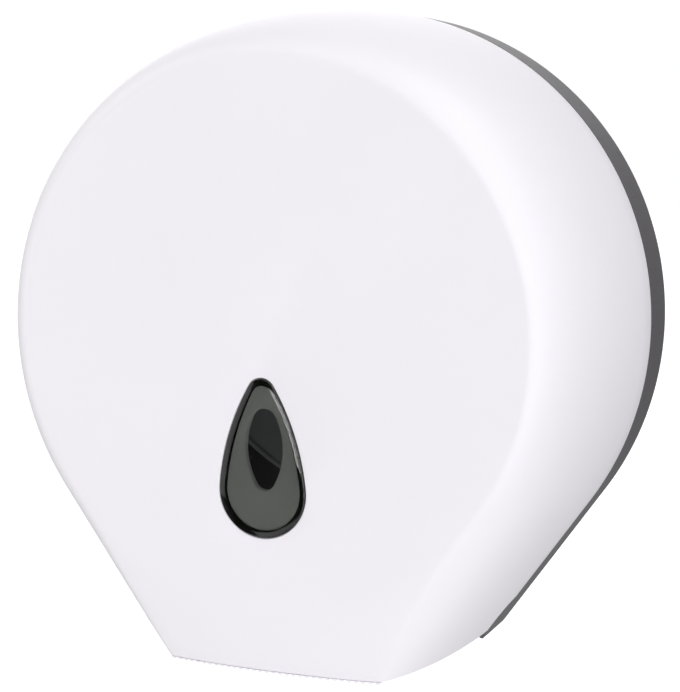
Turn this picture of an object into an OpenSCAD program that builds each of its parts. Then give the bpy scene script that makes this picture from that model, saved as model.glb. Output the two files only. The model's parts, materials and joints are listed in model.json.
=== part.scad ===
// Jumbo toilet roll dispenser for a wall, in millimetres.
// Origin: on the wall plane, at the centre of the round part. +Z is up, the wall is at y = 0,
// and the dispenser stands out of the wall along -Y.
// A grey back plate carries the roll spindle and the hinge. A white cover hangs on the hinge at
// the bottom and is held by a quarter-turn lock at the top.

/* [Body] */
// Width of the round part, seen from the front
body_w = 270; // [264:1:276]
// Angle of the two straight flanks, from the vertical
flank_a = 35.6; // [35:0.1:36]
// How far the rim of the back plate stands out of the wall
rim_d = 28; // [26:1:30]
// How far the flat face of the cover stands out of the wall
face_d = 130.5; // [128:0.5:134]
// Width of the rounded shoulder round the flat face
shoulder_w = 24.4; // [22:0.2:26]
// Height of the cover's bottom edge below the centre
chute_h = 140; // [138:0.5:142]

/* [Walls] */
// Wall thickness of the cover
cover_t = 2.6; // [2.2:0.1:3]
// Thickness of the cover's face
face_t = 2.8; // [2.6:0.1:3]
// Wall thickness of the back plate's rim
rim_t = 2.5; // [2.2:0.1:2.8]
// Thickness of the back plate's floor
floor_t = 3; // [2.6:0.1:3]
// Gap between the cover and the back plate
gap = 0.4; // [0.3:0.1:0.6]

/* [Wall screws] */
// Distance between the four wall screws, across and up
screw_s = 144; // [142:1:146]
// Diameter of the wall screw holes
screw_d = 5.5; // [5:0.5:6]

/* [Spindle] */
// Diameter of the fixed post
post_d = 20; // [19:0.5:20]
// Running clearance of the sleeve on the post
run_c = 0.06; // [0.04:0.01:0.08]
// Diameter of the sleeve that small roll cores fit over
sleeve_d = 39.2; // [38:0.2:39.4]
// Diameter of the core adaptor that wide roll cores fit over
adaptor_d = 56.4; // [55:0.2:57]
// Length of the sleeve in front of its flange
sleeve_l = 86.3; // [80:0.1:88]
// Diameter of the disc behind the roll
disc_d = 181; // [170:1:182]

/* [Window] */
// Height of the round end of the drop-shaped window below the centre
drop_low = 63.45; // [62:0.05:64]
// Radius of its round end
drop_r = 19.14; // [18.5:0.02:19.5]
// Height of its narrow end below the centre
drop_top = 23.42; // [23:0.02:24]
// Radius of its narrow end
tip_r = 6.22; // [6:0.02:6.5]

/* [Tear strip] */
// Distance between the teeth
tooth_p = 3; // [2.5:0.1:4]
// Height of the teeth
tooth_h = 1.1; // [0.8:0.1:1.1]

/* [Hidden] */
$fn = 96;
R = body_w/2;
sn = sin(flank_a);
cs = cos(flank_a);
plate_h = chute_h + 5.4;          // bottom of the back plate, below the centre
// hinge axis, parallel to X
hinge_d = rim_d - 1;
hinge_h = chute_h - 4;
nose_r = 10.6;                    // rounded corner of the rim round the hinge
nose_c = 11;                      // and the hollow in the cover that turns round it
ear_x = (R - rim_t - (hinge_h + 6)*sn)/cs - 1.8;   // outer side of the cover's ears
ear_t = 5;
lug_x = ear_x - ear_t - 0.6;      // outer side of the back plate's lugs
lug_t = 6.4;
pin_r = 2;
// chute front: a large round surface of revolution that falls back below the flat face
fall_r = 90;
fall_s = 113.5;
fall_c = [fall_s - fall_r*sin(3), face_d - fall_r*cos(3)];
// spindle, distances out of the wall
hub_d = 6.5;
post_f = 9.5;
slv_0 = 15.2;
slv_f = 17.7;
slv_1 = slv_f + sleeve_l;
post_1 = slv_1 + 0.6;
post_r = post_d/2;
// lock: the barrel's axis is vertical, lock_d out of the wall, under the top of the cover
lock_d = rim_d + 16;
lt = R;                           // height of the top of the round part
lip_d = lock_d - 9.5;             // front of the keeper's lip
lip_h = lt - 15.1;                // top of the keeper's lip
arm_h = lt - 23;                  // top of the keeper's arm

// ---- helpers: drawn in the wall plane, x across, y up and z out of the wall ----
module wall() rotate([90, 0, 0]) children();

function shoulder(w, f, n = 12) =
    [for (i = [0:n]) let (a = 90*i/n)
        [R - w - (shoulder_w - w)*(1 - cos(a)), rim_d + (face_d - f - rim_d)*sin(a)]];
function fall(r) = r < fall_s ? face_d : fall_c[1] + sqrt(fall_r*fall_r - (r - fall_c[0])*(r - fall_c[0]));

// half section of the cover, w and f inside its outer surface
module section(w, f, u0)
    polygon(concat([[u0, rim_d - 5], [R - w, rim_d - 5]], shoulder(w, f), [[u0, face_d - f]]));

// the round part of the cover, above the two points where the flanks begin
module dome(w, f) rotate([0, 0, -flank_a]) rotate_extrude(angle = 180 + 2*flank_a) section(w, f, 0);

// the flanks lie a hair inside the tangent, so that the two surfaces meet in one clean step
hair = 0.01;
module flank(w, f) rotate([0, 0, -flank_a]) rotate([90, 0, 0]) translate([0, 0, -1]) linear_extrude(176) translate([-hair, 0]) section(w, f, -170);

// the part between the flanks
module wedge(w, f) intersection() { flank(w, f); mirror([1, 0, 0]) flank(w, f); }

// everything behind the chute's front surface, f deep
module behind_front(f) rotate_extrude() union() {
    translate([0, -5]) square([fall_s, face_d - f + 5]);
    translate([0, -f]) intersection() {
        translate(fall_c) circle(r = fall_r, $fn = 180);
        translate([fall_s - 0.1, 20]) square([70, face_d]);
    }
    translate([fall_s - 0.1, -5]) square([45, 55]);
}

module cover_body(w, f) {
    dome(w, f);
    intersection() { wedge(w, f); behind_front(f); }
}

// outline of the back plate, o inside the rim, from a to b out of the wall, in 2-degree steps
module plate_body(o, a, b) {
    r = R - o;
    h = plate_h - o;
    x = (r - h*sn)/cs;
    n = 132;
    translate([0, 0, a]) linear_extrude(b - a) polygon(concat(
        [[x, -h]],
        [for (i = [0:n]) let (q = -flank_a + (180 + 2*flank_a)*i/n) [r*cos(q), r*sin(q)]],
        [[-x, -h]]));
}

// a drop or an oval: a round top at height a, a round bottom at height b, and two large side
// arcs that touch both; g moves the whole outline outwards
module drop(a, ra, b, rb, rs, g = 0) {
    cz = ((rs - rb)*(rs - rb) - (rs - ra)*(rs - ra) + a*a - b*b)/(2*(a - b));
    cx = sqrt((rs - ra)*(rs - ra) - (cz - a)*(cz - a));
    za = a + (ra + g)*(a - cz)/(rs - ra);
    zb = b + (rb + g)*(b - cz)/(rs - rb);
    translate([0, a]) circle(r = ra + g);
    translate([0, b]) circle(r = rb + g);
    intersection() {
        translate([-cx, cz]) circle(r = rs + g + hair, $fn = 360);
        translate([cx, cz]) circle(r = rs + g + hair, $fn = 360);
        translate([-60, zb]) square([120, za - zb]);
    }
}
module window_outline(g = 0) drop(-drop_top, tip_r, -drop_low, drop_r, 97.1, g);
module sight_outline() drop(-drop_top - 12.5, 5.93, -drop_low + 3, 2.77, 28.8);
stakes = [-drop_top - 1.8, -drop_low - 8.1];

module at_hinge(x, l, r) translate([x, -hinge_h, hinge_d]) rotate([0, 90, 0]) cylinder(h = l, r = r);
module both() { children(); mirror([1, 0, 0]) children(); }
module upright(h0, h1, r, f = 96) translate([0, h0, lock_d]) rotate([-90, 0, 0]) cylinder(h = h1 - h0, r = r, $fn = f);
module ring(a, b, ro, ri) translate([0, 0, a]) difference() {
    cylinder(h = b - a, r = ro);
    translate([0, 0, -1]) cylinder(h = b - a + 2, r = ri);
}
// a pan-head screw pointing into the wall: head from d outwards, shank l deep
module screw(d, l, rs, rh, hh) {
    translate([0, 0, d - l]) cylinder(h = l + 0.1, r = rs);
    difference() {
        translate([0, 0, d]) cylinder(h = hh, r = rh);
        for (a = [0, 90]) rotate([0, 0, a]) translate([-rh*0.6, -0.4, d + hh*0.45]) cube([rh*1.2, 0.8, hh]);
    }
}

// ---- back plate and what is fixed to it ----
module back_plate() color([0.27, 0.28, 0.30]) wall() difference() {
    union() {
        difference() {
            plate_body(0, 0, rim_d);
            plate_body(rim_t, floor_t, rim_d + 1);
            // the bottom edge is lower, so that the ears can turn
            translate([-ear_x - 1.3, -plate_h - 5, rim_d - 7.4]) cube([2*ear_x + 2.6, plate_h - hinge_h - 1.1, 30]);
        }
        // ledge and lip inside the rim, behind the edge of the cover
        intersection() {
            union() {
                difference() { plate_body(rim_t - 0.1, rim_d - 6, rim_d); plate_body(cover_t + 2.7, rim_d - 7, rim_d + 1); }
                difference() { plate_body(cover_t + 0.7, rim_d - 1, rim_d + 3.5); plate_body(cover_t + 2.7, rim_d - 7, rim_d + 4); }
            }
            translate([-200, -108, 0]) cube([400, 400, 100]);
        }
        // rounded corners of the rim round the hinge
        intersection() {
            difference() { plate_body(0, 10, rim_d + 15); plate_body(rim_t, 9, rim_d + 16); }
            at_hinge(-100, 200, nose_r);
            both() translate([ear_x + 1.3, -200, 0]) cube([60, 400, 100]);
        }
        // lugs
        both() {
            translate([lug_x - lug_t, -hinge_h - 7, floor_t - 0.1]) cube([lug_t, 13, hinge_d - floor_t]);
            at_hinge(lug_x - lug_t, lug_t, 6);
            translate([lug_x - lug_t/2 - 1.2, -hinge_h + 5, floor_t - 0.1]) cube([2.4, 26, 9]);
        }
        // hub seat with its ribs
        translate([0, 0, floor_t - 0.1]) cylinder(h = hub_d - floor_t + 0.1, r = 30);
        translate([0, 0, floor_t - 0.1]) for (r = [60, 84]) difference() {
            cylinder(h = 3.1, r = r + 1.2);
            translate([0, 0, -1]) cylinder(h = 6, r = r - 1.2);
        }
        for (i = [0:7]) rotate([0, 0, 22.5 + 45*i]) translate([28, -1.2, floor_t - 0.1]) cube([56, 2.4, 3.1]);
        // bosses of the wall screws
        for (x = [-1, 1], y = [-1, 1]) translate([x*screw_s/2, y*screw_s/2, floor_t - 0.1]) cylinder(h = 4.1, r = 8);
        // seat of the keeper
        translate([-13, arm_h - 18, floor_t - 0.1]) cube([26, 19, 3.1]);
        // upright stiffeners above the paper exit
        for (x = [-24, 0, 24]) translate([x - 1.2, -plate_h + 1, floor_t - 0.1]) cube([2.4, 34, 6]);
    }
    for (x = [-1, 1], y = [-1, 1]) translate([x*screw_s/2, y*screw_s/2, 0]) {
        translate([0, 0, -1]) cylinder(h = 12, d = screw_d);
        translate([0, 0, 4]) cylinder(h = 8, r = 5.6);
    }
    for (i = [0:3]) rotate([0, 0, 45 + 90*i]) translate([19, 0, 1.2]) cylinder(h = 10, r = 1.92);
    for (x = [-7.5, 7.5]) translate([x, arm_h - 11, 1.2]) cylinder(h = 10, r = 1.92);
    both() at_hinge(lug_x - lug_t - 1, lug_t + 2, pin_r + 0.02);
}

module spindle_post() color([0.30, 0.31, 0.33]) wall() difference() {
    union() {
        translate([0, 0, hub_d]) cylinder(h = post_f - hub_d, r = 25);
        translate([0, 0, hub_d]) cylinder(h = post_1 - hub_d, r = post_r);
    }
    translate([0, 0, hub_d - 1]) cylinder(h = post_1 - hub_d - 16, r = post_r - 3.5);
    translate([0, 0, post_1 - 14]) cylinder(h = 20, r = 1.7);
    for (i = [0:3]) rotate([0, 0, 45 + 90*i]) translate([19, 0, 0]) cylinder(h = 20, r = 2.1);
}

module spindle_screws() color("silver") wall()
    for (i = [0:3]) rotate([0, 0, 45 + 90*i]) translate([19, 0, 0]) screw(post_f + 0.02, 7.9, 1.9, 3.4, 2.2);

// a coil of n turns, wire radius w, swept along a helix
module brake_spring() color("silver") wall() {
    n = 1.5; m = 36; k = 8; w = 0.7; rc = 12.7; a0 = post_f + 0.8; a1 = slv_0 - 2.6;
    polyhedron(
        points = [for (i = [0:m], j = [0:k - 1]) let (t = 360*n*i/m, q = 360*j/k)
            [(rc + w*cos(q))*cos(t), (rc + w*cos(q))*sin(t), a0 + (a1 - a0)*i/m + w*sin(q)]],
        faces = concat(
            [for (i = [0:m - 1], j = [0:k - 1])
                [i*k + j, i*k + (j + 1)%k, (i + 1)*k + (j + 1)%k, (i + 1)*k + j]],
            [[for (j = [0:k - 1]) k - 1 - j]],
            [[for (j = [0:k - 1]) m*k + j]]));
}

module brake_washer() color([0.12, 0.12, 0.12]) wall() ring(slv_0 - 1.8, slv_0 - 0.3, 15.2, post_r + 0.3);

module spindle_cap() color([0.30, 0.31, 0.33]) wall() difference() {
    union() {
        translate([0, 0, post_1 + 0.02]) cylinder(h = 1.6, r = 15.5);
        translate([0, 0, post_1 + 1.6]) cylinder(h = 1, r = 14.3);
    }
    translate([0, 0, post_1 - 1]) cylinder(h = 6, r = 2.1);
}

module cap_screw() color("silver") wall() screw(post_1 + 2.64, 14, 1.65, 3.6, 2.2);

module lock_keeper() color("silver") wall() difference() {
    union() {
        translate([-12, arm_h - 17, floor_t + 3.02]) cube([24, 17, 2]);
        translate([-5, arm_h - 2, floor_t + 3.02]) cube([10, 2, lip_d - floor_t - 3.02]);
        translate([-5, arm_h - 2, lip_d - 2.7]) cube([10, lip_h - arm_h + 2, 2.7]);
    }
    for (x = [-7.5, 7.5]) translate([x, arm_h - 11, 0]) cylinder(h = 20, r = 2.1);
}

module keeper_screws() color("silver") wall()
    for (x = [-7.5, 7.5]) translate([x, arm_h - 11, 0]) screw(floor_t + 5.04, 6.4, 1.9, 3.3, 2);

module hinge_pins() color("silver") wall() both() {
    at_hinge(lug_x - lug_t - 1, ear_x - lug_x + lug_t + 1.5, pin_r);
    at_hinge(lug_x - lug_t - 2.6, 1.62, 3.2);
}

// ---- what turns with the roll ----
module spindle_sleeve() color([0.78, 0.79, 0.80]) wall() difference() {
    union() {
        translate([0, 0, slv_0]) cylinder(h = slv_f - slv_0, r = 32);
        translate([0, 0, slv_0]) cylinder(h = slv_1 - slv_0, r = post_r + 2.4);
        difference() {
            translate([0, 0, slv_f - 0.1]) cylinder(h = slv_1 - slv_f + 0.1, r = sleeve_d/2);
            translate([0, 0, slv_f]) cylinder(h = slv_1, r = sleeve_d/2 - 2.2);
        }
        for (i = [0:5]) rotate([0, 0, 60*i]) translate([post_r + 1.5, -1, slv_f - 0.1]) cube([sleeve_d/2 - post_r - 2.5, 2, slv_1 - slv_f - 3]);
    }
    translate([0, 0, slv_0 - 1]) cylinder(h = slv_1, r = post_r + run_c);
    for (i = [0:3]) rotate([0, 0, 90*i]) translate([28.6, 0, slv_0 - 1]) cylinder(h = 3.1, r = 1.42);
}

module core_adaptor() color([0.66, 0.67, 0.69]) wall() {
    a = slv_f + 2.5; b = slv_1 - 4;
    ring(a, b, sleeve_d/2 + 1.9, sleeve_d/2 + 0.05);
    ring(a, b, adaptor_d/2, adaptor_d/2 - 1.8);
    for (i = [0:5]) rotate([0, 0, 30 + 60*i]) translate([sleeve_d/2 + 1, -1, a + 1]) cube([adaptor_d/2 - sleeve_d/2 - 2, 2, b - a - 2]);
}

module roll_disc() color([0.66, 0.67, 0.69]) wall() difference() {
    union() {
        translate([0, 0, slv_0 - 2.2]) cylinder(h = 2.15, r = disc_d/2);
        ring(slv_0 - 0.1, slv_0 + 1.4, disc_d/2, disc_d/2 - 1.8);
    }
    translate([0, 0, 0]) cylinder(h = 40, r = 16.5);
    for (i = [0:3]) rotate([0, 0, 90*i]) translate([28.6, 0, 0]) cylinder(h = 40, r = 1.6);
}

module disc_screws() color("silver") wall()
    for (i = [0:3]) rotate([0, 0, 90*i]) translate([28.6, 0, slv_0 - 2.22]) mirror([0, 0, 1]) screw(0, 4.1, 1.4, 2.6, 1.6);

// ---- the cover and what is fixed to it ----
module cover_shell() color([0.97, 0.97, 0.98]) wall() difference() {
    union() {
        difference() {
            cover_body(0, 0);
            difference() {
                cover_body(cover_t, face_t);
                // thicker wall round the window and under the lock
                translate([0, 0, face_d - 5.9]) linear_extrude(10) window_outline(2.4);
                upright(lt - 7.5, lt + 5, 12);
            }
            // the edge at the back and the opening at the bottom
            translate([-200, -200, -10]) cube([400, 400, rim_d + gap + 10]);
            translate([-200, -400 - chute_h, -10]) cube([400, 400, 200]);
            at_hinge(-100, 200, nose_c);
        }
        // ears
        both() intersection() {
            union() {
                at_hinge(ear_x - ear_t, ear_t, 6);
                translate([ear_x - ear_t, -chute_h, hinge_d]) cube([ear_t, 10, 22]);
                translate([ear_x - ear_t, -chute_h, hinge_d + nose_c + 1.4]) cube([20, 10, 12]);
            }
            union() {
                translate([0, 0, -10]) cylinder(h = hinge_d + 12, r = 190);
                wedge(0.3, 0.3);
            }
        }
    }
    // pocket of the window, the sight hole and the two stake holes
    translate([0, 0, face_d - 3.4]) linear_extrude(10) window_outline(0.25);
    translate([0, 0, face_d - 10]) linear_extrude(20) sight_outline();
    for (y = stakes) translate([0, y, face_d - 10]) cylinder(h = 20, r = 1.6);
    // hole of the lock
    upright(lt - 12, lt + 5, 7.15);
    upright(lt - 2.5, lt + 5, 9.5);
    // bores of the hinge bushes
    both() at_hinge(ear_x - ear_t - 1, ear_t + 2, 3.5);
    // blind holes for the tear strip pins
    for (x = [-30, 0, 30]) let (r = norm([x, chute_h - 6])) translate([x, -chute_h + 6, fall(r) - 8]) cylinder(h = 6.7, r = 1.5);
}

module window_lens() color([0.20, 0.21, 0.20]) wall() {
    translate([0, 0, face_d - 2.6]) linear_extrude(3) window_outline(0);
    translate([0, 0, face_d + 0.3]) linear_extrude(0.6) window_outline(-2.6);
    for (y = stakes) translate([0, y, face_d - 8]) cylinder(h = 6, r = 1.5);
}

module window_gasket() color([0.05, 0.05, 0.05]) wall()
    translate([0, 0, face_d - 3.35]) linear_extrude(0.7) difference() { window_outline(-0.1); window_outline(-2); }

module lens_clips() color("silver") wall()
    for (y = stakes) translate([0, y, 0]) ring(face_d - 6.8, face_d - 5.95, 4.2, 1.55);

// the strip lies behind the chute's front wall, and its toothed foot comes out under the edge
module tear_strip() color([0.95, 0.95, 0.96]) wall() difference() {
    strip_body();
    for (x = [-30, 0, 30]) translate([x, -chute_h + 6, 90]) cylinder(h = 60, r = 1.6);
}
module strip_body() intersection() {
    union() {
        difference() {
            behind_front(face_t + 0.05);
            behind_front(face_t + 1.65);
            translate([-60, -chute_h + 12.5, 0]) cube([120, 300, 200]);
            both() translate([44, -200, 0]) cube([60, 400, 200]);
        }
        difference() {
            intersection() { behind_front(0); wedge(0, 0); }
            behind_front(face_t + 1.65);
            translate([-60, -chute_h - 0.05, 0]) cube([120, 300, 200]);
        }
    }
    teeth_outline();
}
module teeth_outline() {
    n = floor(96/tooth_p);
    linear_extrude(200) polygon(concat(
        [[48, -chute_h + 14], [-48, -chute_h + 14]],
        [for (i = [0:n - 1]) each [
            [(i - n/2)*tooth_p, -chute_h - 1.3 + tooth_h],
            [(i - n/2 + 0.5)*tooth_p, -chute_h - 1.3]]],
        [[n/2*tooth_p, -chute_h - 1.3 + tooth_h]]));
}

module tear_strip_pins() color("silver") wall()
    for (x = [-30, 0, 30]) let (r = norm([x, chute_h - 6]), d = fall(r)) translate([x, -chute_h + 6, 0]) {
        translate([0, 0, d - 7]) cylinder(h = 5.5, r = 1.45);
        translate([0, 0, d - 7.6]) cylinder(h = 1.8, r = 2.8);
    }

module hinge_bushes() color([0.90, 0.90, 0.86]) wall() both() difference() {
    at_hinge(ear_x - ear_t + 0.05, ear_t - 0.1, 3.47);
    at_hinge(ear_x - ear_t - 1, ear_t + 2, pin_r + 0.06);
}

module lock_housing() color([0.30, 0.31, 0.33]) wall() difference() {
    union() {
        upright(lt - 11.6, lt - 1, 7);
        upright(lt - 2.4, lt - 0.8, 9.2);
    }
    upright(lt - 20, lt + 5, 5.06);
    upright(lt - 1.9, lt + 5, 6.5);
}

module lock_nut() color("silver") wall() difference() {
    upright(lt - 10.4, lt - 7.6, 11.5, 6);
    upright(lt - 20, lt, 7.05);
}

// ---- what turns with the key ----
module lock_barrel() color("silver") wall() difference() {
    union() {
        upright(lt - 12, lt - 1.2, 5);
        upright(lt - 1.85, lt - 0.95, 6.4);
        translate([-2.5, lt - 14.4, lock_d - 2.5]) cube([5, 3, 5]);
    }
    translate([-0.9, lt - 7, lock_d - 3.2]) cube([1.8, 10, 6.4]);
    upright(lt - 15, lt - 7.5, 1.25);
}

module lock_cam() color([0.75, 0.70, 0.50]) wall() difference() {
    union() {
        upright(lt - 14.2, lt - 12.2, 7.5);
        intersection() {
            upright(lt - 20.4, lt - 12.2, 17);
            translate([0, lt - 14.2, lock_d - 4]) cube([20, 2, 8]);
        }
        intersection() {
            difference() { upright(lt - 20.4, lt - 12.2, 17); upright(lt - 30, lt, 13.8); }
            translate([0, lt - 30, lock_d - 4]) cube([20, 30, 8]);
        }
    }
    translate([-2.55, lt - 30, lock_d - 2.55]) cube([5.1, 30, 5.1]);
}

module cam_washer() color("silver") wall() difference() {
    upright(lt - 15.1, lt - 14.45, 4.6);
    upright(lt - 20, lt, 1.35);
}

module cam_screw() color("silver") wall() {
    upright(lt - 16.9, lt - 15.12, 2.9);
    upright(lt - 16, lt - 8, 1.2);
}

back_plate();
spindle_post();
spindle_screws();
brake_spring();
brake_washer();
spindle_cap();
cap_screw();
lock_keeper();
keeper_screws();
hinge_pins();
spindle_sleeve();
core_adaptor();
roll_disc();
disc_screws();
cover_shell();
window_lens();
window_gasket();
lens_clips();
tear_strip();
tear_strip_pins();
hinge_bushes();
lock_housing();
lock_nut();
lock_barrel();
lock_cam();
cam_washer();
cam_screw();
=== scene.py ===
import json
import math

import bmesh
import bpy
import numpy as np
from mathutils import Matrix, Vector


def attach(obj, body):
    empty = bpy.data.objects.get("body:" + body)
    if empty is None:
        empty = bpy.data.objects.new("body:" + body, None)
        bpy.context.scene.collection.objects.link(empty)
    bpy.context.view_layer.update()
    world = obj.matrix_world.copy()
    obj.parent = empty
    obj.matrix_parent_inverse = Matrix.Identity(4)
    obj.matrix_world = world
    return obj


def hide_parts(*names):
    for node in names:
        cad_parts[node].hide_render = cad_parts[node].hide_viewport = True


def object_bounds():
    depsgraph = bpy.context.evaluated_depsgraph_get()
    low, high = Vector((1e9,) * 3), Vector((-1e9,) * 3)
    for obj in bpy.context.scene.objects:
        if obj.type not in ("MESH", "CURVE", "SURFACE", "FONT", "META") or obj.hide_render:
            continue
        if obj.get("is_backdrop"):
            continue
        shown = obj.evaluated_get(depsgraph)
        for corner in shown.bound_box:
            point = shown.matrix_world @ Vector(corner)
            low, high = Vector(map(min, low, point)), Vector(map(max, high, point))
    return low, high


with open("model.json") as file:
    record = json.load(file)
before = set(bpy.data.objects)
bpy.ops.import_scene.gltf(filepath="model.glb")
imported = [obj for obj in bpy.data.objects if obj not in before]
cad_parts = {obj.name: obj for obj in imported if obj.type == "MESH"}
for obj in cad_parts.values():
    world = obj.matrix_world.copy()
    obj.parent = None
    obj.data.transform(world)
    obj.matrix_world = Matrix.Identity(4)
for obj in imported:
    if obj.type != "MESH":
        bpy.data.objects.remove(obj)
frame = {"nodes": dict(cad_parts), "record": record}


def corners():
    bpy.context.view_layer.update()
    return [[float(x) for x in c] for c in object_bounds()]


CAD_BOX = corners()

# ------------------------------------------------------------------ camera
# The photograph is 680 x 692. The numbers come from fitting the outline.
AZ, EL, DIST = math.radians(21.5654), math.radians(5.5550), 0.778243
DYAW, DPITCH, ROLL = math.radians(1.41105), math.radians(1.37673), math.radians(-0.29970)
FOCAL_PX = 1647.6

place = DIST * Vector((math.sin(AZ) * math.cos(EL), -math.cos(AZ) * math.cos(EL), math.sin(EL)))
yaw, pitch = AZ + DYAW, EL + DPITCH
ahead = Vector((-math.sin(yaw) * math.cos(pitch), math.cos(yaw) * math.cos(pitch), -math.sin(pitch)))
right = Vector((math.cos(yaw), math.sin(yaw), 0))
over = right.cross(ahead)
rr = right * math.cos(ROLL) + over * math.sin(ROLL)
uu = -right * math.sin(ROLL) + over * math.cos(ROLL)
cam_data = bpy.data.cameras.new("camera")
cam = bpy.data.objects.new("camera", cam_data)
bpy.context.scene.collection.objects.link(cam)
turn = Matrix((rr, uu, -ahead)).transposed().to_4x4()
cam.matrix_world = Matrix.Translation(place) @ turn
cam_data.sensor_fit = "AUTO"
cam_data.sensor_width = 36
cam_data.lens = FOCAL_PX * 36 / 692
cam_data.clip_start, cam_data.clip_end = 0.01, 100
bpy.context.scene.camera = cam

# ------------------------------------------------------------------ light
# Soft banks: azimuth (0 is in front of the part, 90 its right), elevation, sharpness, strength.
LEVEL = 0.19
LOBES = [(-60, -60, 16, 1.177), (150, -60, 16, 1.919), (-30, -30, 16, 0.894), (-150, 0, 16, 2.555), (-60, 0, 4, 0.769), (30, 0, 4, 2.649),
         (-180, 30, 16, 0.728), (-150, 30, 16, 0.985), (-90, 30, 16, 2.483), (90, 60, 16, 1.114), (120, 60, 16, 1.704), (0, 90, 4, 0.15)]
# The polished window mirrors the studio, so it has a dark gap in front with a lit bank at its left end, a notch below, and two tubes.
GAP_AZ, GAP_EL = (-70, 10), (-27, 24)
BANK_AZ, BANK_EL, BANK = (-90, -42), (-14, 11), 0.25
NOTCH_AZ, NOTCH_EL = (-60, -37), (-37, -20)
TUBES, TUBES_EL, TUBE = ((0, 2.5), (5, 7.5)), (-6, 9), 11.0

# ------------------------------------------------------------------ numbers of the part, in millimetres
R, FLANK, RIM, FACE = 135.0, math.radians(35.6), 28.0, 130.5
SHOULDER, CHUTE = 24.4, 140.0
COVER_T, FACE_T, RIM_T, FLOOR, GAP = 2.6, 2.8, 2.5, 3.0, 0.4
SN, CS, TN = math.sin(FLANK), math.cos(FLANK), math.tan(FLANK)
PLATE_H = CHUTE + 5.4
HINGE_D, HINGE_H, NOSE_R, NOSE_C = RIM - 1, CHUTE - 4, 10.6, 11.0
EAR_X = (R - RIM_T - (HINGE_H + 6) * SN) / CS - 1.8
EAR_T, LUG_T = 5.0, 6.4
LUG_X = EAR_X - EAR_T - 0.6
FALL_R, FALL_S = 90.0, 113.5
FALL_C = (FALL_S - FALL_R * math.sin(math.radians(3)), FACE - FALL_R * math.cos(math.radians(3)))
LOCK_D, LT = RIM + 16, R
ARM_H = LT - 23
HUB_D, POST_F = 6.5, 9.5
SLV_0, SLV_F = 15.2, 17.7
SLV_1 = SLV_F + 86.3
POST_1 = SLV_1 + 0.6
DROP = (-23.42, 6.22, -63.45, 19.14, 97.1)
FACET = (-25.33, 4.91, -63.35, 16.21, 105.0)
SIGHT = (-35.83, 5.98, -58.53, 4.77, 29.65)
STAKES = (-25.22, -71.55)


# ------------------------------------------------------------------ mesh tools, in plan coordinates: x, up, depth out of the wall
def mesh_of(verts, faces, outward=True):
    me = bpy.data.meshes.new("m")
    me.from_pydata([tuple(map(float, v)) for v in verts], [], [tuple(map(int, f)) for f in faces])
    if outward:
        bm = bmesh.new()
        bm.from_mesh(me)
        bmesh.ops.recalc_face_normals(bm, faces=bm.faces)
        bm.to_mesh(me)
        bm.free()
    return me


def loft(rings, closed=False):
    """Joins rings of equal count with quads, with a cap at both ends, or back to the first ring."""
    n = len(rings[0])
    verts = np.concatenate(rings)
    k = len(rings)
    faces = []
    for j in range(k if closed else k - 1):
        a, b = j * n, ((j + 1) % k) * n
        faces += [(a + i, a + (i + 1) % n, b + (i + 1) % n, b + i) for i in range(n)]
    if not closed:
        faces += [tuple(range(n))[::-1], tuple(range((k - 1) * n, k * n))]
    return mesh_of(verts, faces)


def at_depth(outline, d):
    return np.column_stack([outline, np.full(len(outline), float(d))])


def circle(x, up, r, n=96, phase=0.0):
    t = np.arange(n) * 2 * math.pi / n + phase
    return np.column_stack([x + r * np.cos(t), up + r * np.sin(t)])


def turned(points, axis):
    """Takes (p, q, along) to plan coordinates for a shape along depth, x or up."""
    p, q, s = points.T
    if axis == "d":
        return np.column_stack([p, q, s])
    if axis == "x":
        return np.column_stack([s, p, q])
    return np.column_stack([q, s, p])


def steps(e, start, n=4):
    """Quarter round of radius e from (-e, 0) to (0, e), as n + 1 points, at the start or the end of a side."""
    t = np.linspace(0, math.pi / 2, n + 1)
    a = [(-e * (1 - math.sin(x)), e * (1 - math.cos(x))) for x in t]
    return a if start else [(g, -s) for g, s in a[::-1]]


def profile(a, b, e0=0.0, e1=0.0, n=4, g=0.0):
    """(offset, along) pairs of a straight side from a to b with rounded ends. A negative e flares outwards."""
    p = []
    if e0:
        p += [(g + (o if e0 > 0 else -o), a + s) for o, s in steps(abs(e0), True, n)]
    else:
        p.append((g, a))
    if e1:
        p += [(g + (o if e1 > 0 else -o), b + s) for o, s in steps(abs(e1), False, n)]
    else:
        p.append((g, b))
    return p


def rod(axis, p, q, r, a, b, e0=0.0, e1=0.0, n=96, segs=3):
    """Cylinder along an axis with rounded ends: (p, q) is its centre in the other two coordinates."""
    rings = [turned(at_depth(circle(p, q, r + g, n), s), axis) for g, s in profile(a, b, e0, e1, segs)]
    return loft(rings)


def lathe(pq, points, n=128, axis="d"):
    """Turns a closed (radius, along) outline round an axis."""
    rings = [turned(at_depth(circle(pq[0], pq[1], r, n), s), axis) for r, s in points]
    return loft(rings, closed=True)


def block(x0, x1, u0, u1, d0, d1, e=0.3, segs=2):
    me = bpy.data.meshes.new("m")
    bm = bmesh.new()
    bmesh.ops.create_cube(bm, size=1)
    for v in bm.verts:
        v.co = Vector(((x0 + x1) / 2 + v.co.x * (x1 - x0), (u0 + u1) / 2 + v.co.y * (u1 - u0), (d0 + d1) / 2 + v.co.z * (d1 - d0)))
    if e:
        bmesh.ops.bevel(bm, geom=list(bm.edges), offset=e, segments=segs, profile=0.5, affect="EDGES")
    bmesh.ops.recalc_face_normals(bm, faces=bm.faces)
    bm.to_mesh(me)
    bm.free()
    return me


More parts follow.
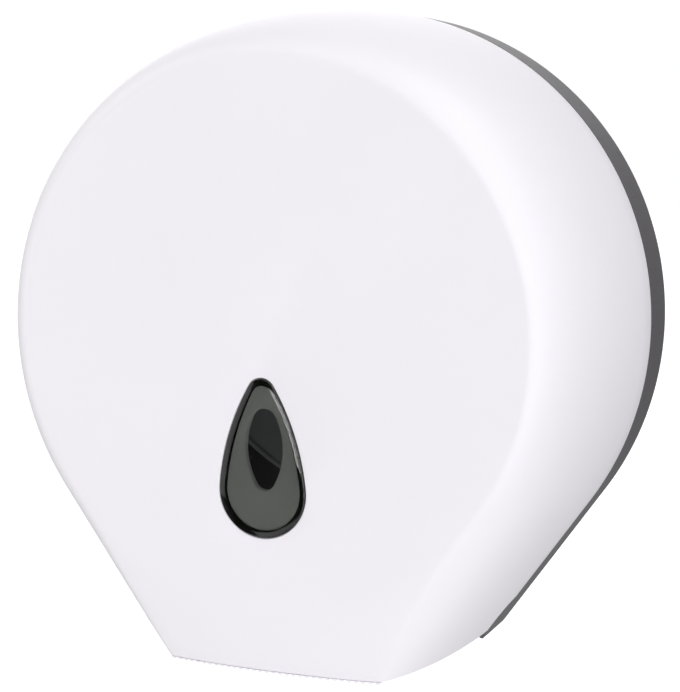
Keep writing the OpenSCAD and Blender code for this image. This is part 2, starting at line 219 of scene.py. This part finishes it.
def spun(me, angle, centre=(0, 0)):
    """Turns a mesh round the depth axis."""
    out = me.copy()
    out.transform(Matrix.Translation((centre[0], centre[1], 0)) @ Matrix.Rotation(angle, 4, "Z") @ Matrix.Translation((-centre[0], -centre[1], 0)))
    return out


def mirrored(me):
    out = me.copy()
    out.transform(Matrix.Scale(-1, 4, (1, 0, 0)))
    out.flip_normals()
    return out


def combine(base, *ops):
    """Booleans in order: ("+", mesh), ("-", mesh) or ("&", mesh)."""
    kinds = {"+": "UNION", "-": "DIFFERENCE", "&": "INTERSECT"}
    o = bpy.data.objects.new("tmp", base)
    bpy.context.scene.collection.objects.link(o)
    tools = []
    for kind, me in ops:
        t = bpy.data.objects.new("tool", me)
        bpy.context.scene.collection.objects.link(t)
        tools.append(t)
        m = o.modifiers.new("b", "BOOLEAN")
        m.operation, m.solver, m.object = kinds[kind], "MANIFOLD", t
    bpy.context.view_layer.update()
    out = bpy.data.meshes.new_from_object(o.evaluated_get(bpy.context.evaluated_depsgraph_get()))
    if not len(out.polygons):
        raise RuntimeError("an empty result from a boolean")
    for x in [o] + tools:
        bpy.data.objects.remove(x)
    return out


def rounded(me, width, degrees=40, segs=3):
    """Rounds a clean mesh's edges."""
    o = bpy.data.objects.new("tmp", me)
    bpy.context.scene.collection.objects.link(o)
    m = o.modifiers.new("b", "BEVEL")
    m.width, m.segments, m.limit_method, m.angle_limit = width, segs, "ANGLE", math.radians(degrees)
    m.use_clamp_overlap = False
    bpy.context.view_layer.update()
    out = bpy.data.meshes.new_from_object(o.evaluated_get(bpy.context.evaluated_depsgraph_get()))
    bpy.data.objects.remove(o)
    return out


def piece(name, me, body, nodes, material, sharp=32):
    """A finished piece in the frame, in metres, smooth except at edges over sharp degrees."""
    me.transform(Matrix(((0.001, 0, 0, 0), (0, 0, -0.001, 0), (0, 0.001, 0, 0), (0, 0, 0, 1))))
    bm = bmesh.new()
    bm.from_mesh(me)
    bmesh.ops.remove_doubles(bm, verts=bm.verts, dist=2e-7)
    bmesh.ops.dissolve_degenerate(bm, edges=bm.edges, dist=2e-7)
    loose = [v for v in bm.verts if not v.link_faces]
    bmesh.ops.delete(bm, geom=loose, context="VERTS")
    bm.normal_update()
    for f in bm.faces:
        f.smooth = True
    for e in bm.edges:
        e.smooth = not (len(e.link_faces) == 2 and e.calc_face_angle(0) > math.radians(sharp))
    bm.to_mesh(me)
    bm.free()
    me.name = name
    me.materials.clear()
    me.materials.append(material)
    o = bpy.data.objects.new(name, me)
    bpy.context.scene.collection.objects.link(o)
    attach(o, body)
    if nodes:
        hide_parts(*nodes)
    return o


# ------------------------------------------------------------------ outlines
def drop(a, ra, b, rb, rs, g=0.0, n=28, m=48):
    """Round top at height a, round bottom at height b, two large side arcs; g moves it outwards."""
    cz = ((rs - rb) ** 2 - (rs - ra) ** 2 + a * a - b * b) / (2 * (a - b))
    cx = math.sqrt((rs - ra) ** 2 - (cz - a) ** 2)
    top, bot = math.atan2(a - cz, cx), math.atan2(b - cz, cx)

    def arc(x, y, r, t0, t1, k):
        t = t0 + (t1 - t0) * np.arange(k) / k
        return np.column_stack([x + r * np.cos(t), y + r * np.sin(t)])

    return np.concatenate([
        arc(-cx, cz, rs + g, bot, top, m),
        arc(0, a, ra + g, top, math.pi - top, n),
        arc(cx, cz, rs + g, math.pi - top, math.pi - bot, m),
        arc(0, b, rb + g, math.pi - bot, 2 * math.pi + bot, n + 12)])


def plate(o, n=420):
    """Outline of the back plate, o inside the rim."""
    r, h = R - o, PLATE_H - o
    x = (r - h * SN) / CS
    t = np.linspace(-FLANK, math.pi + FLANK, n + 1)
    arc = np.column_stack([r * np.cos(t), r * np.sin(t)])
    side = np.linspace(0, 1, 24)[:-1, None]
    right_side = np.array([x, -h]) * (1 - side) + arc[0] * side
    left_side = arc[-1] * (1 - side) + np.array([-x, -h]) * side
    low = np.array([-x, -h]) * (1 - side) + np.array([x, -h]) * side
    return np.concatenate([right_side, arc[:-1], left_side, low])


def plate_stack(pairs, closed=False):
    return loft([at_depth(plate(o), d) for o, d in pairs], closed)


# ------------------------------------------------------------------ cover
def fall(r):
    r = np.asarray(r, float)
    inside = np.maximum(FALL_R ** 2 - (r - FALL_C[0]) ** 2, 0)
    return np.where(r < FALL_S, FACE, FALL_C[1] + np.sqrt(inside))


def least(a, b, k):
    h = np.maximum(k - np.abs(a - b), 0)
    return np.minimum(a, b) - np.where(k > 1e-9, h * h / (4 * np.maximum(k, 1e-9)), 0)


def shoulder_at(u, w, f):
    c = np.clip(1 - (R - w - u) / (SHOULDER - w), 0, 1)
    return RIM + (FACE - f - RIM) * np.sqrt(1 - c * c)


EDGE_K = 2.4


def merged(depth, r, f):
    """The shoulder's depth with the chute's falling front, softly joined."""
    drop_by = FACE - fall(r)
    return least(depth, fall(r) - f, np.minimum(EDGE_K, 0.8 * drop_by))


def sheet(w, f, d0=RIM + GAP, rows=46, arcs=460, along=60, low=110):
    """Surface of the cover, w and f inside its outer surface: vertices, faces, and the loop of its open edge."""
    psi = np.linspace(0, math.pi / 2, rows + 1)
    a0 = math.asin((d0 - RIM) / (FACE - f - RIM))
    base = 0.15 * psi + 0.85 * np.arctan2(4.2 * np.sin(psi), np.cos(psi))
    s = (base / base[-1])
    verts, faces = [], []

    def column_right(t):
        def u_of(a):
            return R - w - (SHOULDER - w) * (1 - math.cos(a))

        def v_of(a):
            return t * (CHUTE - u_of(a) * SN) / CS

        def gap(a):
            r = math.hypot(u_of(a), v_of(a))
            return RIM + (FACE - f - RIM) * math.sin(a) - (float(fall(r)) - f)

        hi = math.pi / 2
        if gap(hi) > 1e-9:
            lo = 0.3
            for _ in range(60):
                mid = (lo + hi) / 2
                lo, hi = (lo, mid) if gap(mid) > 0 else (mid, hi)
        out = []
        for q in s:
            a = a0 + (hi - a0) * q
            u, v = u_of(a), v_of(a)
            depth = RIM + (FACE - f - RIM) * math.sin(a)
            out.append((u * CS - v * SN, -u * SN - v * CS, float(merged(depth, math.hypot(u, v), f))))
        return out

    columns = [column_right(t) for t in np.linspace(1, 0, along + 1)]
    flank = columns[:-1]
    for q in np.linspace(-FLANK, math.pi + FLANK, arcs + 1):
        col = []
        for k in s:
            a = a0 + (math.pi / 2 - a0) * k
            u = R - w - (SHOULDER - w) * (1 - math.cos(a))
            col.append((u * math.cos(q), u * math.sin(q), RIM + (FACE - f - RIM) * math.sin(a)))
        columns_q = col
        flank.append(columns_q)
    left = [[(-x, z, d) for x, z, d in c] for c in columns[:-1]][::-1]
    cols = flank + left
    nc = len(cols)
    for c in cols:
        verts += c
    nr = rows + 1
    for j in range(nc - 1):
        for i in range(rows):
            faces.append((j * nr + i, (j + 1) * nr + i, (j + 1) * nr + i + 1, j * nr + i + 1))
    # the front: from the crease and the bottom edge in to a ring, then one flat face
    xr = cols[0][-1][0]
    mu = (1 - np.cos(np.linspace(0, math.pi, low + 1))) / 2
    mu = 0.5 * mu + 0.5 * np.linspace(0, 1, low + 1)
    bottom_x = -xr + 2 * xr * mu[1:-1]
    outer = [(j * nr + rows) for j in range(nc)]
    pts = [np.array(verts[i]) for i in outer]
    start = len(verts)
    for x in bottom_x:
        r = math.hypot(x, CHUTE)
        u = abs(x) * CS + CHUTE * SN
        d = float(merged(shoulder_at(u, w, f), r, f))
        verts.append((x, -CHUTE, d))
        outer.append(len(verts) - 1)
        pts.append(np.array(verts[-1]))
    marks = [0, .012, .028, .05, .08, .12, .17, .23, .3, .38, .48, .6, .74, .88, 1]
    rings = [outer]
    inner_r = 99.0
    for k in marks[1:]:
        ring = []
        for p in pts:
            r0 = math.hypot(p[0], p[1])
            r = r0 + (inner_r - r0) * k
            x, z = p[0] * r / r0, p[1] * r / r0
            if z < -TN * abs(x):
                u = abs(x) * CS - z * SN
                d = float(merged(shoulder_at(u, w, f), r, f))
            else:
                d = float(shoulder_at(r, w, f))
            verts.append((x, z, d))
            ring.append(len(verts) - 1)
        rings.append(ring)
    n = len(outer)
    for a, b in zip(rings[:-1], rings[1:]):
        faces += [(a[i], a[(i + 1) % n], b[(i + 1) % n], b[i]) for i in range(n)]
    # two more flat rings, then the middle
    last = rings[-1]
    for r in (96.0, 60.0):
        ring = []
        for i in last:
            x, z, d = verts[i]
            q = r / math.hypot(x, z)
            verts.append((x * q, z * q, FACE - f))
            ring.append(len(verts) - 1)
        faces += [(last[i], last[(i + 1) % n], ring[(i + 1) % n], ring[i]) for i in range(n)]
        last = ring
    faces.append(tuple(last))
    rim = [j * nr for j in range(nc)]
    loop = rim + [(nc - 1) * nr + i for i in range(1, nr)] + list(range(start, start + low - 1)) + [i for i in range(nr - 1, 0, -1)]
    return np.array(verts), faces, loop


def shell():
    vo, fo, lo = sheet(0, 0)
    vi, fi, li = sheet(COVER_T, FACE_T)
    k = len(vo)
    verts = np.concatenate([vo, vi])
    n = len(lo)
    faces = list(fo) + [tuple(i + k for i in f[::-1]) for f in fi]
    faces += [(lo[(i + 1) % n], lo[i], li[i] + k, li[(i + 1) % n] + k) for i in range(n)]
    return rounded(mesh_of(verts, faces), 0.55, 50, 3)


def body_solid(w, f):
    """The cover's outer volume, w and f inside, as one solid down to the back edge."""
    v, fc, lp = sheet(w, f, arcs=240, rows=30, along=24, low=40, d0=RIM + 0.01)
    nr = 31
    n = len(lp)
    # close the back and the bottom with flat faces
    nc = 24 + 241 + 24
    rim = lp[:nc]
    bottom = lp[nc - 1:] + [lp[0]]
    faces = list(fc) + [tuple(rim[::-1]), tuple(bottom[::-1])]
    return mesh_of(v, faces)


def make_cover():
    body = shell()
    boss = loft([at_depth(drop(*DROP, g=g), d) for g, d in profile(FACE - 5.9, FACE - 1.2, 0.6, 0, 4, 2.4)])
    lock_boss = rod("u", LOCK_D, 0, 12, LT - 7.5, LT - 2.65, 0.6, 0, 96)
    ears = []
    inside = body_solid(0.3, 0.3)
    for kind in (1, -1):
        disc = rod("x", -HINGE_H, HINGE_D, 6, EAR_X - EAR_T, EAR_X, 0.35, 0.35, 72)
        arm = block(EAR_X - EAR_T, EAR_X, -CHUTE, -CHUTE + 10, HINGE_D, HINGE_D + 22, 0.35)
        root = block(EAR_X - EAR_T, EAR_X - EAR_T + 20, -CHUTE, -CHUTE + 10, HINGE_D + NOSE_C + 1.4, HINGE_D + NOSE_C + 13.4, 0.35)
        root = combine(root, ("&", inside.copy()))
        ear = combine(disc, ("+", arm), ("+", root))
        ears.append(ear if kind == 1 else mirrored(ear))
    pocket = loft([at_depth(drop(*DROP, g=g), d) for g, d in profile(FACE - 3.4, FACE, 0, -0.35, 5, 0.25)[:-1] + [(0.6, FACE), (0.6, FACE + 6)]])
    sight = loft([at_depth(drop(*SIGHT, g=g, n=18, m=20), d) for g, d in [(0, FACE - 12), (0, FACE - 3.9), (0.12, FACE - 3.6), (0.45, FACE - 3.38), (0.45, FACE + 2)]])
    cuts = [pocket, sight]
    cuts += [rod("d", 0, y, 1.6, FACE - 10, FACE - 3.95, n=40) for y in STAKES]
    cuts += [rod("u", LOCK_D, 0, 7.15, LT - 12, LT + 5, n=96)]
    cuts += [loft([turned(at_depth(circle(LOCK_D, 0, 9.5 + g, 96), s), "u") for g, s in [(0, LT - 2.5), (0, LT - 0.75), (0.08, LT - 0.5), (0.3, LT - 0.28), (0.7, LT - 0.12), (0.7, LT + 5)]])]
    cuts += [rod("x", -HINGE_H, HINGE_D, 3.5, s * (EAR_X - EAR_T / 2) - 5, s * (EAR_X - EAR_T / 2) + 5, n=64) for s in (1, -1)]
    for x in (-30, 0, 30):
        d = float(fall(math.hypot(x, CHUTE - 6)))
        cuts.append(rod("d", x, -CHUTE + 6, 1.5, d - 8, d - 1.3, n=36))
    hinge = rod("x", -HINGE_H, HINGE_D, NOSE_C, -100, 100, n=180)
    return combine(body, ("-", hinge), ("+", boss), ("+", lock_boss), ("+", ears[0]), ("+", ears[1]), *[("-", c) for c in cuts])


def make_lens():
    inner = drop(*FACET)
    outline = lambda g, d: at_depth(drop(*DROP, g=g), d)
    rings = [outline(-0.25, FACE - 2.6), outline(0, FACE - 2.35), outline(0, FACE - 0.1), outline(-0.06, FACE + 0.12), outline(-0.2, FACE + 0.27), outline(-0.42, FACE + 0.36)]
    edge = drop(*DROP, g=-0.42)
    for k, d in ((0.12, 0.447), (0.25, 0.534), (0.38, 0.613), (0.5, 0.681), (0.62, 0.743), (0.75, 0.802), (0.88, 0.852), (0.95, 0.874), (1.0, 0.886), (1.05, 0.894), (1.12, 0.9)):
        rings.append(at_depth(edge + (inner - edge) * k, FACE + d))
    lens = loft(rings)
    pins = [rod("d", 0, y, 1.5, FACE - 8, FACE - 4.0, 0.3, 0, 40) for y in STAKES]
    return combine(lens, *[("+", p) for p in pins])


def make_seal():
    outer = loft([at_depth(drop(*DROP, g=g), d) for g, d in profile(FACE - 3.35, FACE - 2.65, 0.12, 0.12, 3, -0.1)])
    hole = drop(*FACET, g=0.05) + np.array([-0.4, -0.2])
    return combine(outer, ("-", loft([at_depth(hole, d) for d in (FACE - 5, FACE)])))


# ------------------------------------------------------------------ back plate
def make_plate():
    body = plate_stack([(-g, d) for g, d in profile(0, RIM, 0.8, 0.45, 5)])
    inner = plate_stack([(RIM_T - g, d) for g, d in profile(FLOOR, RIM + 20, 1.6, 0, 5)])
    ledge = plate_stack([(RIM_T - 0.3, RIM - 6), (5.1, RIM - 6), (5.3, RIM - 5.8), (5.3, RIM + 3.1), (5.18, RIM + 3.38), (4.9, RIM + 3.5), (3.7, RIM + 3.5), (3.42, RIM + 3.38), (3.3, RIM + 3.1), (3.3, RIM), (RIM_T - 0.3, RIM)], closed=True)
    ledge = combine(ledge, ("&", block(-200, 200, -108, 292, 0, 100, 0)))
    noses = []
    ring = plate_stack([(0.0, 10), (RIM_T, 10), (RIM_T, RIM + 15), (0.0, RIM + 15)], closed=True)
    roll = rod("x", -HINGE_H, HINGE_D, NOSE_R, -100, 100, n=180)
    nose = combine(ring, ("&", roll))
    noses = [combine(nose.copy(), ("&", block(EAR_X + 1.3, EAR_X + 61.3, -200, 200, 0, 100, 0))),
             combine(nose.copy(), ("&", block(-EAR_X - 61.3, -EAR_X - 1.3, -200, 200, 0, 100, 0)))]
    adds, cuts = [], []
    lug = combine(block(LUG_X - LUG_T, LUG_X, -HINGE_H - 7, -HINGE_H + 6, FLOOR - 0.4, HINGE_D - 0.1, 0.3),
                  ("+", rod("x", -HINGE_H, HINGE_D, 6, LUG_X - LUG_T, LUG_X, 0.3, 0.3, 72)),
                  ("+", block(LUG_X - LUG_T / 2 - 1.2, LUG_X - LUG_T / 2 + 1.2, -HINGE_H + 5, -HINGE_H + 31, FLOOR - 0.4, FLOOR + 8.9, 0.3)))
    adds += [lug, mirrored(lug)]
    adds.append(rod("d", 0, 0, 30, FLOOR - 0.4, HUB_D, 0, 0.4, 128))
    for r in (60, 84):
        adds.append(lathe((0, 0), [(r - 1.2, FLOOR - 0.4), (r - 1.2, FLOOR + 2.7), (r - 1.1, FLOOR + 2.92), (r - 0.9, FLOOR + 3), (r + 0.9, FLOOR + 3), (r + 1.1, FLOOR + 2.92), (r + 1.2, FLOOR + 2.7), (r + 1.2, FLOOR - 0.4)], 180))
    for i in range(8):
        adds.append(spun(block(28, 84, -1.2, 1.2, FLOOR - 0.4, FLOOR + 3, 0.25), math.radians(22.5 + 45 * i)))
    for x in (-72, 72):
        for y in (-72, 72):
            adds.append(rod("d", x, y, 8, FLOOR - 0.4, FLOOR + 4, 0, 0.4, 72))
    adds.append(block(-13, 13, ARM_H - 18, ARM_H + 1, FLOOR - 0.4, FLOOR + 3, 0.3))
    for x in (-24, 0, 24):
        adds.append(block(x - 1.2, x + 1.2, -PLATE_H + 1, -PLATE_H + 35, FLOOR - 0.4, FLOOR + 5.9, 0.3))
    cuts.append(block(-EAR_X - 1.3, EAR_X + 1.3, -PLATE_H - 5, -HINGE_H - 6.1, RIM - 7.4, RIM + 22, 0))
    for x in (-72, 72):
        for y in (-72, 72):
            cuts.append(loft([at_depth(circle(x, y, r, 64), d) for r, d in [(3.1, -1), (3.1, 0), (2.85, 0.12), (2.75, 0.35), (2.75, 12)]]))
            cuts.append(loft([at_depth(circle(x, y, r, 64), d) for r, d in [(5.6, 4), (5.6, 6.7), (5.72, 6.92), (5.95, 7.01), (5.95, 12)]]))
    for i in range(4):
        q = math.radians(45 + 90 * i)
        cuts.append(rod("d", 19 * math.cos(q), 19 * math.sin(q), 1.92, 1.2, 11, n=32))
    for x in (-7.5, 7.5):
        cuts.append(rod("d", x, ARM_H - 11, 1.92, 1.2, 11, n=32))
    for s in (1, -1):
        c = s * (LUG_X - LUG_T / 2)
        cuts.append(rod("x", -HINGE_H, HINGE_D, 2.02, c - 5, c + 5, n=40))
    return combine(body, ("-", inner), ("-", cuts[0]), ("+", ledge), ("+", noses[0]), ("+", noses[1]),
                   *[("+", a) for a in adds], *[("-", c) for c in cuts[1:]])


# ------------------------------------------------------------------ materials
class Nodes:
    """Short hand for a node tree."""

    def __init__(self, name):
        self.mat = bpy.data.materials.new(name)
        self.mat.use_nodes = True
        self.t = self.mat.node_tree
        self.p = self.t.nodes["Principled BSDF"]
        self.co = self.t.nodes.new("ShaderNodeTexCoord").outputs["Object"]

    def new(self, kind, **values):
        n = self.t.nodes.new(kind)
        for k, v in values.items():
            if hasattr(n, k):
                setattr(n, k, v)
            else:
                n.inputs[k.replace("_", " ")].default_value = v
        return n

    def link(self, a, b):
        self.t.links.new(a, b)

    def noise(self, scale, detail=4.0, rough=0.5, stretch=None, distortion=0.0):
        n = self.new("ShaderNodeTexNoise", Scale=scale, Detail=detail, Roughness=rough, Distortion=distortion)
        co = self.co
        if stretch:
            m = self.new("ShaderNodeMapping")
            m.inputs["Scale"].default_value = stretch
            self.link(co, m.inputs["Vector"])
            co = m.outputs["Vector"]
        self.link(co, n.inputs["Vector"])
        return n.outputs["Fac"]

    def spread(self, value, a, b, lo, hi, smooth=False):
        m = self.new("ShaderNodeMapRange")
        m.interpolation_type = "SMOOTHSTEP" if smooth else "LINEAR"
        for k, v in zip(("From Min", "From Max", "To Min", "To Max"), (a, b, lo, hi)):
            m.inputs[k].default_value = v
        self.link(value, m.inputs["Value"])
        return m.outputs["Result"]

    def math(self, op, a, b=None):
        n = self.new("ShaderNodeMath")
        n.operation = op
        for i, x in enumerate((a, b)):
            if x is None:
                continue
            if isinstance(x, (int, float)):
                n.inputs[i].default_value = x
            else:
                self.link(x, n.inputs[i])
        return n.outputs[0]

    def mix(self, fac, a, b):
        n = self.new("ShaderNodeMix")
        n.data_type = "RGBA"
        for s, x in ((n.inputs[0], fac), (n.inputs[6], a), (n.inputs[7], b)):
            if isinstance(x, tuple):
                s.default_value = x if len(x) == 4 else (*x, 1)
            elif isinstance(x, (int, float)):
                s.default_value = x
            else:
                self.link(x, s)
        return n.outputs[2]

    def bump(self, height, strength, distance):
        n = self.new("ShaderNodeBump", Strength=strength, Distance=distance)
        self.link(height, n.inputs["Height"])
        self.link(n.outputs["Normal"], self.p.inputs["Normal"])

    def set(self, **values):
        for k, v in values.items():
            s = self.p.inputs[k.replace("_", " ")]
            if isinstance(v, tuple) and len(v) == 3:
                v = (*v, 1)
            s.default_value = v


def moulded(name, rgb, rough, grain=1500, strength=0.06, vary=0.03, ior=1.5, scuff=0.05, coat=0.0):
    """Injection-moulded plastic: fine spark-eroded grain, slow colour drift, faint rubbed streaks."""
    m = Nodes(name)
    m.set(IOR=ior, Coat_Weight=coat, Coat_Roughness=0.25)
    drift = m.noise(14, 3, 0.5)
    fine = m.noise(grain, 2, 0.55)
    streak = m.noise(60, 6, 0.62, stretch=(1.0, 1.0, 7.0), distortion=0.4)
    dark = tuple(c * (1 - vary) for c in rgb)
    light = tuple(min(1, c * (1 + vary * 0.5)) for c in rgb)
    colour = m.mix(m.spread(drift, 0.3, 0.7, 0, 1, True), dark, light)
    m.link(colour, m.p.inputs["Base Color"])
    r = m.math("ADD", m.spread(drift, 0.3, 0.7, rough - 0.025, rough + 0.025), m.spread(streak, 0.52, 0.74, 0, scuff, True))
    r = m.math("ADD", r, m.spread(fine, 0.3, 0.7, -0.02, 0.02))
    m.link(r, m.p.inputs["Roughness"])
    m.bump(m.math("ADD", m.math("MULTIPLY", fine, 0.6), m.math("MULTIPLY", m.noise(grain * 0.35, 2, 0.5), 0.4)), strength, 0.0002)
    return m.mat


def metal(name, rgb, rough, scale=900, strength=0.05, stretch=(1, 1, 1), tint=None):
    m = Nodes(name)
    m.set(Metallic=1.0)
    grain = m.noise(scale, 5, 0.6, stretch=stretch)
    cloud = m.noise(220, 4, 0.55)
    dark = tuple(c * 0.86 for c in rgb)
    other = tint or tuple(min(1, c * 1.04) for c in rgb)
    m.link(m.mix(m.spread(cloud, 0.32, 0.68, 0, 1, True), dark, other), m.p.inputs["Base Color"])
    m.link(m.math("ADD", m.spread(grain, 0.3, 0.7, rough - 0.07, rough + 0.09), m.spread(cloud, 0.3, 0.7, -0.03, 0.05)), m.p.inputs["Roughness"])
    m.bump(grain, strength, 0.0001)
    return m.mat


white_abs = moulded("white_abs", (0.890, 0.862, 0.914), 0.42, 1300, 0.05, 0.008, 1.46, 0.05)
grey_abs = moulded("grey_abs", (0.082, 0.077, 0.086), 0.46, 1100, 0.14, 0.05, 1.5, 0.07)
light_abs = moulded("light_grey_abs", (0.46, 0.47, 0.49), 0.45, 1200, 0.09, 0.02, 1.5, 0.05)
acetal = moulded("acetal", (0.82, 0.82, 0.77), 0.38, 1600, 0.04, 0.02, 1.48, 0.03)
seal = moulded("seal", (0.018, 0.018, 0.019), 0.7, 2600, 0.3, 0.2, 1.45, 0.05)
pad = moulded("friction_pad", (0.03, 0.029, 0.028), 0.75, 2200, 0.35, 0.2, 1.45, 0.05)
zinc = metal("zinc_steel", (0.60, 0.61, 0.62), 0.34, 900, 0.02, tint=(0.64, 0.635, 0.60))
spring = metal("spring_steel", (0.42, 0.43, 0.45), 0.30, 1500, 0.05, stretch=(1, 1, 6))
chrome = metal("lock_metal", (0.70, 0.71, 0.73), 0.18, 700, 0.03)


def smoked():
    """Clear smoked acrylic, polished, with the finest of rub marks."""
    m = Nodes("smoked_lens")
    m.set(IOR=1.49, Transmission_Weight=1.0, Coat_Weight=0.0)
    rub = m.noise(240, 5, 0.6, stretch=(1, 1, 3), distortion=0.3)
    m.link(m.mix(m.spread(m.noise(30, 2), 0.3, 0.7, 0, 1), (0.420, 0.440, 0.408), (0.445, 0.463, 0.430)), m.p.inputs["Base Color"])
    m.link(m.spread(rub, 0.45, 0.75, 0.015, 0.05, True), m.p.inputs["Roughness"])
    m.bump(rub, 0.01, 0.0001)
    return m.mat


lens_mat = smoked()

BY_SLOT = {"white_abs": white_abs, "grey_abs": grey_abs, "light_grey_abs": light_abs, "acetal": acetal, "smoked_lens": lens_mat,
           "seal": seal, "friction_pad": pad, "zinc_steel": zinc, "spring_steel": spring, "lock_metal": chrome}
slot_of = {s["node"]: s["material_slot"] for s in frame["record"]["subparts"]}
REPLACED = ("cover_shell", "window_lens", "window_gasket", "back_plate")
# edges of the carried-over parts are broken by this much, in millimetres
EDGE = {"tear_strip": 0.08, "brake_spring": 0, "lens_clips": 0.1, "spindle_sleeve": 0.25, "core_adaptor": 0.25, "roll_disc": 0.25,
        "spindle_cap": 0.25, "spindle_post": 0.2, "lock_keeper": 0.25, "lock_cam": 0.22, "lock_barrel": 0.12, "lock_housing": 0.2}
for name, o in frame["nodes"].items():
    o.data.materials.clear()
    o.data.materials.append(BY_SLOT[slot_of[name]])
    width = EDGE.get(name, 0.12)
    if name not in REPLACED and width:
        m = o.modifiers.new("weld", "WELD")
        m.merge_threshold = 1e-6
        m = o.modifiers.new("edge", "BEVEL")
        m.width, m.segments, m.limit_method, m.angle_limit = width / 1000, 2, "ANGLE", math.radians(38)
        m.harden_normals = True

# ------------------------------------------------------------------ pieces
piece("cover_moulding", make_cover(), "cover", ["cover_shell"], white_abs)
piece("drop_lens", make_lens(), "cover", ["window_lens"], lens_mat, 40)
piece("window_seal", make_seal(), "cover", ["window_gasket"], seal)
wall_plate = piece("wall_plate", make_plate(), "wall_unit", ["back_plate"], grey_abs)
# large flat faces keep their own normal beside the small roundings of their holes and edges
m = wall_plate.modifiers.new("normals", "WEIGHTED_NORMAL")
m.mode, m.keep_sharp = "FACE_AREA", True

# ------------------------------------------------------------------ stage and light
bm = bmesh.new()
bmesh.ops.create_grid(bm, x_segments=8, y_segments=8, size=15)
me = bpy.data.meshes.new("floor")
bm.to_mesh(me)
bm.free()
floor = bpy.data.objects.new("floor", me)
floor.location = (0, 12.7, -1.1)
# the soft banks below the floor line light the part too, so the floor is seen but throws no light or shadow
floor.visible_diffuse = floor.visible_glossy = floor.visible_shadow = False
bpy.context.scene.collection.objects.link(floor)
floor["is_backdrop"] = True
fm = Nodes("floor")
fm.set(Base_Color=(0.85, 0.85, 0.85), Roughness=0.85, Emission_Color=(1, 1, 1), Emission_Strength=0.42)
me.materials.append(fm.mat)

# A white studio: soft banks all round, with the gap, the bank and the tubes that the window mirrors.
world = bpy.data.worlds.new("world")
bpy.context.scene.world = world
world.use_nodes = True
wt = world.node_tree
bg = wt.nodes["Background"]
sky = Nodes.__new__(Nodes)
sky.t = wt
sky.co = wt.nodes.new("ShaderNodeTexCoord").outputs["Generated"]


def lobe(azimuth, elevation, power, strength):
    q, e = math.radians(azimuth), math.radians(elevation)
    d = sky.new("ShaderNodeVectorMath")
    d.operation = "DOT_PRODUCT"
    sky.link(sky.co, d.inputs[0])
    d.inputs[1].default_value = (math.sin(q) * math.cos(e), -math.cos(q) * math.cos(e), math.sin(e))
    return sky.math("MULTIPLY", sky.math("POWER", sky.math("MAXIMUM", d.outputs["Value"], 0.0), power), strength)


def window(a, e, azimuths, elevations, soft):
    """1 inside a range of azimuth and elevation in degrees, 0 outside it."""
    r = [math.radians(x) for x in (*azimuths, *elevations, soft)]
    sides = [sky.spread(a, r[0] - r[4], r[0], 0, 1, True), sky.spread(a, r[1], r[1] + r[4], 1, 0, True),
             sky.spread(e, r[2] - r[4], r[2], 0, 1, True), sky.spread(e, r[3], r[3] + r[4], 1, 0, True)]
    return sky.math("MULTIPLY", sky.math("MULTIPLY", sides[0], sides[1]), sky.math("MULTIPLY", sides[2], sides[3]))


level = LEVEL
for bank in LOBES:
    level = sky.math("ADD", lobe(*bank), level)
xyz = sky.new("ShaderNodeSeparateXYZ")
sky.link(sky.co, xyz.inputs[0])
azimuth = sky.math("ARCTAN2", xyz.outputs["X"], sky.math("MULTIPLY", xyz.outputs["Y"], -1.0))
height = sky.math("ARCSINE", xyz.outputs["Z"])
bank = window(azimuth, height, BANK_AZ, BANK_EL, 2)
gap = sky.math("SUBTRACT", 1.0, sky.math("MULTIPLY", window(azimuth, height, GAP_AZ, GAP_EL, 3), sky.math("SUBTRACT", 1.0, bank)))
gap = sky.math("MULTIPLY", gap, sky.math("SUBTRACT", 1.0, window(azimuth, height, NOTCH_AZ, NOTCH_EL, 3)))
tubes = sky.math("ADD", *[window(azimuth, height, t, TUBES_EL, 0.5) for t in TUBES])
lit = sky.math("ADD", sky.math("MULTIPLY", level, gap), sky.math("ADD", sky.math("MULTIPLY", tubes, TUBE), sky.math("MULTIPLY", bank, BANK)))
seen = sky.new("ShaderNodeLightPath").outputs["Is Camera Ray"]
strength = sky.math("ADD", sky.math("MULTIPLY", lit, sky.math("SUBTRACT", 1.0, seen)), sky.math("MULTIPLY", seen, 1.02))
wt.links.new(strength, bg.inputs["Strength"])
bg.inputs["Color"].default_value = (1, 1, 1, 1)

bpy.context.scene.view_settings.view_transform = "Standard"

made = corners()
